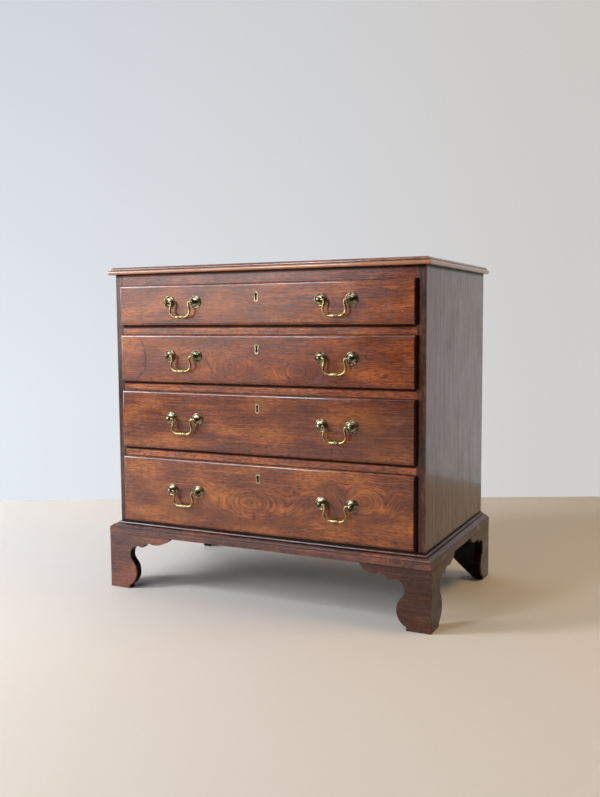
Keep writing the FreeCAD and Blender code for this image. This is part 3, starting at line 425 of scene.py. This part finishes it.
# Dirt, painted shade, wear and polish as depths along one axis. A drawer's lip has, from its face back,
# a dark quirk of dirt and painted shade, a clean round that dusters have polished, and a back edge darkened
# by dirt and painted shadow.
DRAWER_FACE = -237.998 * MM
LIP_BACK = DRAWER_FACE + 10 * MM
LIP_DIRT_AND_SHADE = ("Y", DRAWER_FACE, LIP_BACK, [
    (0.03, 0.0), (0.95, 0.97), (0.1, 0.6), (0.16, 0.0), (0.5, 0.0), (0.66, 0.9)])
LIP_POLISH = ("Y", DRAWER_FACE, LIP_BACK, [(0.08, 0.0), (0.7, 0.0), (0.14, 0.6), (0.6, 0.6)])
# The right-hand lips lie out of the light, and their darkness is painted shade.
RIGHT_LIP_START = 385 * MM
RIGHT_LIP_END = 393 * MM
RIGHT_LIP_SHADE = ("X", RIGHT_LIP_START, RIGHT_LIP_END, [(0.0, 0.0), (1.0, 0.98), (0.3, 0.95)])
# The handle posts, from their ends back to the face: tarnished balls, dark necks and cleaner rosettes.
POST_END = DRAWER_FACE - 19.5 * MM
POST_TARNISH = ("Y", POST_END, DRAWER_FACE, [
    (0.0, 0.4), (1.0, 0.0), (0.35, 0.4), (0.5, 0.8), (0.68, 0.7), (0.76, 0.2)])
# The keyholes are painted black inside as painted shade, from just behind the faces of their escutcheons.
KEYHOLE_SHADE = ("Y", DRAWER_FACE - 0.3 * MM, DRAWER_FACE + 0.7 * MM, [(0.0, 0.0), (1.0, 1.0), (0.4, 0.95)])
# The top's edge, upwards: a rubbed nose painted paler with a painted highlight, a dark fillet above it of
# dirt and painted shade, and a polished upper round.
TOP_UNDER, TOP_SURFACE = (corner[2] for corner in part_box("top_board"))
TOP_DIRT_AND_SHADE = ("Z", TOP_UNDER, TOP_SURFACE, [
    (0.0, 0.2), (1.0, 0.15), (0.1, 0.0), (0.5, 0.0), (0.57, 0.9), (0.64, 0.9), (0.7, 0.15)])
TOP_POLISH = ("Z", TOP_UNDER, TOP_SURFACE, [
    (0.05, 0.0), (1.0, 0.5), (0.15, 0.8), (0.5, 0.8), (0.55, 0.0), (0.65, 0.0), (0.7, 1.0), (0.95, 1.0)])
TOP_WORN_AND_HIGHLIGHT = ("Z", TOP_UNDER, TOP_SURFACE, [(0.02, 0.0), (0.56, 0.0), (0.1, 0.75), (0.5, 0.75)])
# Dirt and painted shadow in the corner under the top's overhang.
UNDER_TOP_SHADE_AND_DIRT = ("Z", TOP_UNDER - 8 * MM, TOP_UNDER, [(0.0, 0.0), (1.0, 0.97), (0.5, 0.85)])
# The base, upwards from just under the joint with the feet: a dark joint line, dirt and painted shade in the
# grooves beside the slope and the bead, and painted shade along its top edge under the lowest drawer.
BASE_UNDER, BASE_TOP = (corner[2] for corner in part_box("base_moulding_front"))
BASE_START = BASE_UNDER - 4 * MM
BASE_POLISH = ("Z", BASE_START, BASE_TOP, [(0.62, 0.0), (0.9, 0.0), (0.68, 1.0), (0.82, 1.0)])
BASE_DIRT_AND_SHADE = ("Z", BASE_START, BASE_TOP, [
    (0.06, 0.0), (1.0, 0.9), (0.12, 0.85), (0.17, 0.0), (0.58, 0.0), (0.63, 0.7), (0.68, 0.0), (0.82, 0.0),
    (0.86, 0.95), (0.91, 0.0), (0.97, 0.0)])
# The sides are polished from just behind their front edges, with dirt and painted shade along the base.
SIDE_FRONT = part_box("left_side")[0][1]
SIDE_FOOT_DIRT_AND_SHADE = ("Z", BASE_TOP, BASE_TOP + 6 * MM, [(0.0, 0.97), (1.0, 0.0), (0.5, 0.85)])
SIDE_POLISH = ("Y", SIDE_FRONT, SIDE_FRONT + 8 * MM, [(0.3, 0.0), (1.0, 0.85)])
# Dust in the joints between the back boards: their places and half the dust's width, in mm.
JOINT_PLACES = (-199, 0, 199)
JOINT_REACH = 4
BACK_JOINTS = [("X", (place - JOINT_REACH) * MM, (place + JOINT_REACH) * MM,
                [(0.2, 0.0), (0.8, 0.0), (0.4, 0.9), (0.6, 0.9)]) for place in JOINT_PLACES]


def rail_shadow_lines(number):
    """A divider's dark lines of painted shadow, upwards: thin over the drawer below it, wider under the
    drawer above it.
    """
    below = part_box(f"drawer_{number + 1}_front")[1][2]
    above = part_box(f"drawer_{number}_front")[0][2]
    return ("Z", below, above, [(0.0, 0.8), (1.0, 0.99), (0.12, 0.0), (0.66, 0.0), (0.8, 0.97)])


def foot_shade(axis, outside):
    """Painted shade, near black, on a foot's sawn edges and back, from just behind its outer face, which
    stays clean.
    """
    inwards = math.copysign(MM, -outside)
    return (axis, outside + 1.5 * inwards, outside + 5 * inwards, [(0.0, 0.0), (1.0, 0.97)])


def aged_brass(name, bright, middle, dull, dirt_and_shade=()):
    """Cast brass, filed and long handled: bright and dull clouds, fine pits, and bands of black dirt and
    painted shade.
    """
    material, tree = empty_material(name)
    place = add(tree, "TexCoord", out="Object")
    scaled = add(tree, "Mapping", {0: place, 3: TO_MM})
    drawn = patterns(tree, 4, {"cloud": (scaled, (9, 9, 9), 4.0), "pit": (scaled, (1.4, 1.4, 1.4), 2.0)})
    cloud = add(tree, "MapRange", {0: drawn["cloud"], 1: 0.38, 2: 0.66})
    colour = add(tree, "ValToRGB", {0: cloud}, stops=[(0.0, bright), (1.0, dull), (0.5, middle)])
    dirt_and_shade_depth = bands(tree, place, dirt_and_shade)
    colour = add(tree, "Mix", {0: dirt_and_shade_depth, 6: colour, 7: linear("0A0806")}, out=2, data_type="RGBA")
    rough = add(tree, "MapRange", {0: drawn["cloud"], 1: 0.35, 2: 0.7, 3: 0.2, 4: 0.4})
    normal = add(tree, "Bump", {"Strength": 0.5, "Distance": 0.04 * MM, "Height": drawn["pit"]})
    shader = add(tree, "BsdfPrincipled", {"Base Color": colour, "Metallic": 1.0, "Roughness": rough,
                                          "Normal": normal})
    add(tree, "OutputMaterial", {"Surface": shader})
    return material


def old_iron():
    """Forged lock work: dull, brown-black, with a film of rust and old oil."""
    material, tree = empty_material("old_lock_steel")
    place = add(tree, "Mapping", {0: add(tree, "TexCoord", out="Object"), 3: TO_MM})
    drawn = patterns(tree, 9, {"rust": (place, (6, 6, 6), 4.0)})
    rust = add(tree, "MapRange", {0: drawn["rust"], 1: 0.45, 2: 0.65})
    colour = add(tree, "Mix", {0: rust, 6: linear("6A645C"), 7: linear("4A3424")}, out=2, data_type="RGBA")
    rough = add(tree, "MapRange", {0: rust, 3: 0.38, 4: 0.7})
    shader = add(tree, "BsdfPrincipled", {"Base Color": colour, "Metallic": 0.9, "Roughness": rough})
    add(tree, "OutputMaterial", {"Surface": shader})
    return material


def pale_floor():
    """Plain matt stone-coloured floor, which keeps the shadow."""
    material, tree = empty_material("pale_stone_floor")
    shader = add(tree, "BsdfPrincipled", {"Base Color": linear("DAD3C7"), "Roughness": 0.7})
    add(tree, "OutputMaterial", {"Surface": shader})
    return material


def pale_backdrop():
    """Plain paint with painted light: paler and cooler towards the window at the left, duller to the right
    and higher up. The camera and polish see it glow in these colours. From behind it is clear and hides
    nothing.
    """
    material, tree = empty_material("pale_wall_paint")
    place = add(tree, "SeparateXYZ", {0: add(tree, "TexCoord", out="Object")})
    # in metres across the backdrop and up it
    across = add(tree, "MapRange", {0: place, 1: -1.2, 2: 1.0})
    upwards = add(tree, "MapRange", {0: place.node.outputs["Y"], 1: 0.4, 2: 2.0})
    low = add(tree, "Mix", {0: across, 6: linear("E7EDF5"), 7: linear("D0CDCB")}, out=2, data_type="RGBA")
    high = add(tree, "Mix", {0: across, 6: linear("D0D5DE"), 7: linear("CCC9C5")}, out=2, data_type="RGBA")
    colour = add(tree, "Mix", {0: upwards, 6: low, 7: high}, out=2, data_type="RGBA")
    paint = add(tree, "BsdfPrincipled", {"Base Color": colour, "Roughness": 0.8})
    ray = add(tree, "LightPath", out="Is Camera Ray")
    seen = add(tree, "Math", {0: ray, 1: ray.node.outputs["Is Glossy Ray"]}, operation="MAXIMUM")
    seen = add(tree, "Math", {0: seen, 1: ray.node.outputs["Is Transmission Ray"]}, operation="MAXIMUM")
    glow = add(tree, "Emission", {"Color": colour, "Strength": 1.0})
    shader = add(tree, "MixShader", {0: seen, 1: paint, 2: glow})
    behind = add(tree, "NewGeometry", out="Backfacing")
    shader = add(tree, "MixShader", {0: behind, 1: shader, 2: add(tree, "BsdfTransparent")})
    add(tree, "OutputMaterial", {"Surface": shader})
    return material


# Carcase

# A knot at the right-hand end of the base's front, and its dark heart.
BASE_KNOTS = [(351, 152, 50, 26)]
BASE_MARKS = [(351, 152, 6, 4, 0, 0.8)]
# Each board has its name, its look, how it lies, and a number that makes its figure its own.
top_rail = wood("mahogany_top_rail", PLAIN_MAHOGANY, "long_front", 1, dirt_and_shade=[UNDER_TOP_SHADE_AND_DIRT])
base_front = wood("mahogany_base_front", PALE_MAHOGANY, "long_front", 11, BASE_KNOTS, BASE_MARKS,
                  dirt_and_shade=[BASE_DIRT_AND_SHADE], polish=[BASE_POLISH])
base_side = wood("mahogany_base_side", DARK_MAHOGANY, "deep_side", 61, dirt_and_shade=[BASE_DIRT_AND_SHADE])
top_flat = wood("mahogany_top", TOP_MAHOGANY, "long_flat", 21, dirt_and_shade=[TOP_DIRT_AND_SHADE], polish=[TOP_POLISH],
                worn_and_highlit=[TOP_WORN_AND_HIGHLIGHT])
side_upright = wood("mahogany_side", SIDE_MAHOGANY, "upright_side", 41,
                    dirt_and_shade=[UNDER_TOP_SHADE_AND_DIRT, SIDE_FOOT_DIRT_AND_SHADE], polish=[SIDE_POLISH])
oak_deep = wood("oak_drawer_side", OAK, "deep_side", 81)
oak_front = wood("oak_drawer_back", OAK, "long_front", 101)
oak_flat = wood("oak_drawer_bottom", OAK, "long_flat", 121)
pine_front = wood("pine_rail", PINE, "long_front", 141)
pine_flat = wood("pine_dust_board", PINE, "long_flat", 161)
pine_deep = wood("pine_runner", PINE, "deep_side", 181)
pine_backs = [wood(f"pine_back_board_{number}", PINE, "upright_back", 191 + 3 * number, dirt_and_shade=BACK_JOINTS)
              for number in range(len(JOINT_PLACES) + 1)]
# deal painted near black as painted shade, for the parts under the chest and inside the feet
shade_black_pine = wood("shade_black_pine", SHADE_BLACK_PINE, "long_flat", 211)
rubbed_brass = aged_brass("rubbed_brass", "B09D6A", "907E50", "605231")
dull_brass = aged_brass("dull_brass", "A69C7E", "786F55", "3B3527", [POST_TARNISH])
keyhole_brass = aged_brass("keyhole_brass", "B8AC8C", "8C8262", "4A4230", [KEYHOLE_SHADE])
lock_steel = old_iron()

eased("top_board", [top_flat], BOARD_EASE)
# the left front foot is painted paler than the right one, a painted sheen from the window
FOOT_LOOKS = {"left": PALE_MAHOGANY, "right": DARK_MAHOGANY}
for number, hand in enumerate(HANDS):
    eased(f"{hand}_side", [side_upright], FINE_EASE)
    eased(f"base_moulding_{hand}", [base_side], FINE_EASE)
    low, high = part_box(f"front_{hand}_foot")
    foot_front = wood(f"mahogany_{hand}_foot_front", FOOT_LOOKS[hand], "long_front", 12 + number,
                      dirt_and_shade=[BASE_DIRT_AND_SHADE, foot_shade("Y", low[1])])
    foot_side = wood(f"mahogany_{hand}_foot_side", BLACK_MAHOGANY, "deep_side", 62 + number,
                     dirt_and_shade=[BASE_DIRT_AND_SHADE, foot_shade("X", max(low[0], high[0], key=abs))])
    eased(f"front_{hand}_foot", [foot_front, foot_side], ROUGH_EASE)
    # the rear feet's second solids are deal painted near black, as painted shade
    eased(f"rear_{hand}_foot", [foot_side, shade_black_pine], ROUGH_EASE)
eased("base_moulding_front", [base_front], FINE_EASE)
eased("front_top_rail", [top_rail], RAIL_EASE)
for number in DRAWERS[:-1]:
    divider = wood(f"mahogany_divider_{number}", RAIL_MAHOGANY, "long_front", 4 + number,
                   dirt_and_shade=[rail_shadow_lines(number)])
    eased(f"divider_rail_{number}", [divider], RAIL_EASE)
eased("back_boards", pine_backs, ROUGH_EASE)
# the bottom board and glue blocks are deal painted near black, as painted shade
INNER_BOARDS = {"rear_top_rail": pine_front, "dust_boards": pine_flat, "drawer_runners": pine_deep,
                "bottom_board": shade_black_pine, "glue_blocks": shade_black_pine}
for node, material in INNER_BOARDS.items():
    eased(node, [material], BOARD_EASE)

# Nails with forged rose heads hold the back boards, two to a board along the rear rail and the bottom. Half
# of a head's thickness lies in the board. Columns and rows are in mm.
NAIL_SIDES = 8
HEAD_RADIUS = 4.5 * MM
HEAD_THICKNESS = 1.6 * MM
SHANK_RADIUS = 1.6 * MM
SHANK_LENGTH = 5 * MM
NAIL_EASE = 0.3 * MM
BACK_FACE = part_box("back_boards")[1][1]
NAIL_COLUMNS = (-366, -231, -166, -33, 34, 168, 232, 365)
NAIL_ROWS = (164, 791)


def forged_nail():
    """One nail at the origin: a hammered eight-sided head that faces +Y, and the first part of its shank."""
    bpy.ops.object.select_all(action="DESELECT")
    bpy.ops.mesh.primitive_cone_add(vertices=NAIL_SIDES, radius1=HEAD_RADIUS, radius2=HEAD_RADIUS / 3,
                                    depth=HEAD_THICKNESS, rotation=(-QUARTER, 0, 0))
    nail = bpy.context.active_object
    bpy.ops.object.transform_apply(rotation=True)
    # the shank grows from the face that looks into the board
    for polygon in nail.data.polygons:
        polygon.select = polygon.normal.y < -0.9
    bpy.ops.object.mode_set(mode="EDIT")
    bpy.ops.mesh.inset(thickness=HEAD_RADIUS - SHANK_RADIUS)
    bpy.ops.mesh.extrude_region_move(TRANSFORM_OT_translate={"value": (0, -SHANK_LENGTH, 0)})
    bpy.ops.object.mode_set(mode="OBJECT")
    apply_modifier(nail, "BEVEL", limit_method="ANGLE", angle_limit=SHARP, width=NAIL_EASE,
                   segments=EASE_STEPS)
    return nail


first_nail = forged_nail()
nails = []
for column in NAIL_COLUMNS:
    for row in NAIL_ROWS:
        nail = bpy.data.objects.new("back_nail", first_nail.data.copy())
        bpy.context.collection.objects.link(nail)
        nail.location = (column * MM, BACK_FACE, row * MM)
        nails.append(nail)
only(first_nail)
bpy.ops.object.delete()
for nail in nails:
    nail.select_set(True)
bpy.context.view_layer.objects.active = nails[0]
bpy.ops.object.join()
back_nails = bpy.context.view_layer.objects.active
back_nails.name = "back_nails"
bpy.ops.object.transform_apply(location=True)
bpy.ops.object.shade_smooth_by_angle(angle=SMOOTH)
back_nails.data.materials.append(lock_steel)
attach(back_nails, "carcase")

# Drawers

# Knots: place on the front, half length and half height, in mm.
DRAWER_KNOTS = {
    1: [],
    2: [(-68, 576, 110, 60), (105, 568, 90, 58)],
    3: [],
    4: [(-18, 252, 190, 78), (270, 278, 100, 70)],
}
# Dark marks: place, half length and half width in mm, turn in degrees, depth. The second drawer has a crack.
CRACK = [(-326, 632, 16, 3.6, -62, 0.9), (-318, 604, 24, 4, -82, 0.95), (-318, 574, 20, 4, 84, 0.95),
         (-332, 552, 20, 4, 42, 0.9)]
DRAWER_MARKS = {
    1: [(89, 720, 16, 9, 0, 0.45)],
    2: CRACK + [(-72, 580, 5, 3, 0, 0.8), (-26, 600, 7, 2, 35, 0.7), (320, 562, 6, 4, 0, 0.7)],
    3: [(-300, 462, 90, 3, 2, 0.3), (327, 390, 9, 4, 40, 0.6), (188, 448, 14, 4, 0, 0.5),
        (330, 440, 110, 70, 0, 0.42)],
    4: [(-18, 252, 6, 3.5, 0, 0.85), (346, 192, 7, 4, 0, 0.8), (18, 206, 5, 3, 0, 0.8),
        (-240, 235, 190, 55, 0, 0.3)],
}
# Places where the wood shows through brighter, in the same numbers.
DRAWER_GLOWS = {
    1: [(-110, 722, 90, 30, 0, 0.4)],
    2: [(-130, 604, 80, 26, 0, 0.35)],
    3: [(-250, 388, 130, 16, 0, 0.5)],
    4: [(-335, 318, 70, 26, 0, 0.4), (330, 215, 70, 26, 0, 0.3)],
}
DRAWER_LOOKS = {1: MAHOGANY, 2: KNOTTY_MAHOGANY, 3: DEEP_MAHOGANY, 4: DEEP_KNOTTY_MAHOGANY}
for number in DRAWERS:
    drawer = f"drawer_{number}"
    front = wood(f"mahogany_drawer_{number}", DRAWER_LOOKS[number], "long_front", 220 + 20 * number,
                 DRAWER_KNOTS[number], DRAWER_MARKS[number], DRAWER_GLOWS[number], [LIP_DIRT_AND_SHADE, RIGHT_LIP_SHADE],
                 [LIP_POLISH])
    eased(f"{drawer}_front", [front], FINE_EASE)
    eased(f"{drawer}_sides", [oak_deep], BOX_EASE)
    eased(f"{drawer}_back", [oak_front], BOX_EASE)
    eased(f"{drawer}_bottom", [oak_flat], BOX_EASE)
    frame["nodes"][f"{drawer}_handle_posts"].data.materials[0] = dull_brass
    frame["nodes"][f"{drawer}_escutcheon"].data.materials[0] = keyhole_brass
    for hand in HANDS:
        frame["nodes"][f"{drawer}_{hand}_bail"].data.materials[0] = rubbed_brass
    for node in ("lock", "lock_bolt"):
        frame["nodes"][f"{drawer}_{node}"].data.materials[0] = lock_steel

# Studio: a plain pale floor, a backdrop square to the camera, and soft light mostly from the left

CAMERA_YAW = math.radians(25.94)
CAMERA_PITCH = math.radians(-5.08)
CAMERA_ROLL = math.radians(-0.395)
CAMERA_PLACE = Vector((0.9945, -2.0513, 0.6854))
FOCAL_PIXELS = 880.63
IMAGE_HEIGHT = 797
STUDIO_SIZE = 12.0
BACKDROP_DISTANCE = 1.07

bpy.ops.object.select_all(action="DESELECT")
bpy.ops.mesh.primitive_plane_add(size=STUDIO_SIZE)
floor = bpy.context.active_object
floor.name = "studio_floor"
floor.data.materials.append(pale_floor())
bpy.ops.mesh.primitive_plane_add(size=STUDIO_SIZE)
backdrop = bpy.context.active_object
backdrop.name = "studio_backdrop"
backdrop.matrix_world = (Matrix.Rotation(CAMERA_YAW, 4, "Z") @ Matrix.Translation((0, BACKDROP_DISTANCE, 0))
                         @ Matrix.Rotation(QUARTER, 4, "X"))
backdrop.data.materials.append(pale_backdrop())

# The camera sees a pale studio all round. Metal and polish show a room: pale sides that are dim to the right
# and in front, a ceiling, and a window in front at the left. The same sides are a weak fill for all else.
DIM_SIDE = (0.8, -0.6, 0)
WINDOW_SIDE = (-0.534, -0.839, 0.105)
PALE_STRENGTH = 0.4
DIM_STRENGTH = 0.03
WINDOW_STRENGTH = 4.4
FILL_SHARE = 0.6
STUDIO_STRENGTH = 0.72
world = bpy.data.worlds.new("soft_room")
bpy.context.scene.world = world
world.use_nodes = True
room = world.node_tree
room.nodes.clear()
towards = add(room, "TexCoord", out="Object")
dim = add(room, "VectorMath", {0: towards, 1: DIM_SIDE}, out="Value", operation="DOT_PRODUCT")
sides = add(room, "MapRange", {0: dim, 1: -0.2, 2: 0.3, 3: PALE_STRENGTH, 4: DIM_STRENGTH})
window = add(room, "VectorMath", {0: towards, 1: WINDOW_SIDE}, out="Value", operation="DOT_PRODUCT")
window = add(room, "MapRange", {0: window, 1: 0.975, 2: 0.998, 3: 0.0, 4: WINDOW_STRENGTH})
ceiling = add(room, "MapRange", {0: add(room, "SeparateXYZ", {0: towards}, out="Z"), 1: 0.5, 2: 0.9})
shown = add(room, "Math", {0: window, 1: ceiling}, operation="ADD")
shown = add(room, "Math", {0: shown, 1: sides}, operation="ADD")
fill = add(room, "Math", {0: sides, 1: FILL_SHARE}, operation="MULTIPLY")
ray = add(room, "LightPath", out="Is Glossy Ray")
strength = add(room, "Mix", {0: ray, 2: fill, 3: shown})
strength = add(room, "Mix", {0: ray.node.outputs["Is Camera Ray"], 2: strength, 3: STUDIO_STRENGTH})
sky = add(room, "Background", {"Color": linear("F4F1EC"), "Strength": strength})
add(room, "OutputWorld", {"Surface": sky})


def soft_light(name, place, target, size, watts, code, diffuse=True):
    """A rectangular soft light that faces a point. Without diffuse it shows only in polish and metal."""
    data = bpy.data.lights.new(name, "AREA")
    data.shape = "RECTANGLE"
    data.size, data.size_y = size
    data.energy = watts
    data.color = linear(code)[:3]
    lamp = bpy.data.objects.new(name, data)
    lamp.location = place
    lamp.visible_diffuse = diffuse
    lamp.rotation_euler = (Vector(target) - Vector(place)).to_track_quat("-Z", "Y").to_euler()
    bpy.context.collection.objects.link(lamp)


# Two windows, a strip overhead, a reflector that draws the pale line on the drawers' lips, and a warm lamp.
soft_light("window_light", (-2.45, -1.85, 1.45), (0, 0, 0.45), (0.8, 1.7), 100, "F0F4FF")
soft_light("front_window", (-1.65, -3.9, 2.0), (0, -0.2, 0.45), (0.6, 1.0), 58, "F0F4FF")
soft_light("ceiling_strip", (-1.1, -1.8, 2.7), (-1.1, -0.2, 0.5), (3.4, 0.3), 20, "F4F4FF")
soft_light("lip_reflector", (-2.65, -3.9, 2.0), (-0.2, -0.2, 0.6), (1.4, 0.9), 70, "F4F4FF", diffuse=False)
soft_light("right_lamp", (1.7, 0.2, 2.5), (1.0, 0, 0), (1.0, 1.0), 28, "FFDAA6")

# the sensor's width lies along the picture's longer side, its height
camera = bpy.data.objects.new("camera", bpy.data.cameras.new("camera"))
camera.data.lens = camera.data.sensor_width * FOCAL_PIXELS / IMAGE_HEIGHT
camera.matrix_world = (
    Matrix.Translation(CAMERA_PLACE) @ Matrix.Rotation(CAMERA_YAW, 4, "Z")
    @ Matrix.Rotation(QUARTER + CAMERA_PITCH, 4, "X") @ Matrix.Rotation(CAMERA_ROLL, 4, "Z"))
bpy.context.collection.objects.link(camera)
bpy.context.scene.camera = camera
bpy.context.scene.view_settings.view_transform = "Standard"
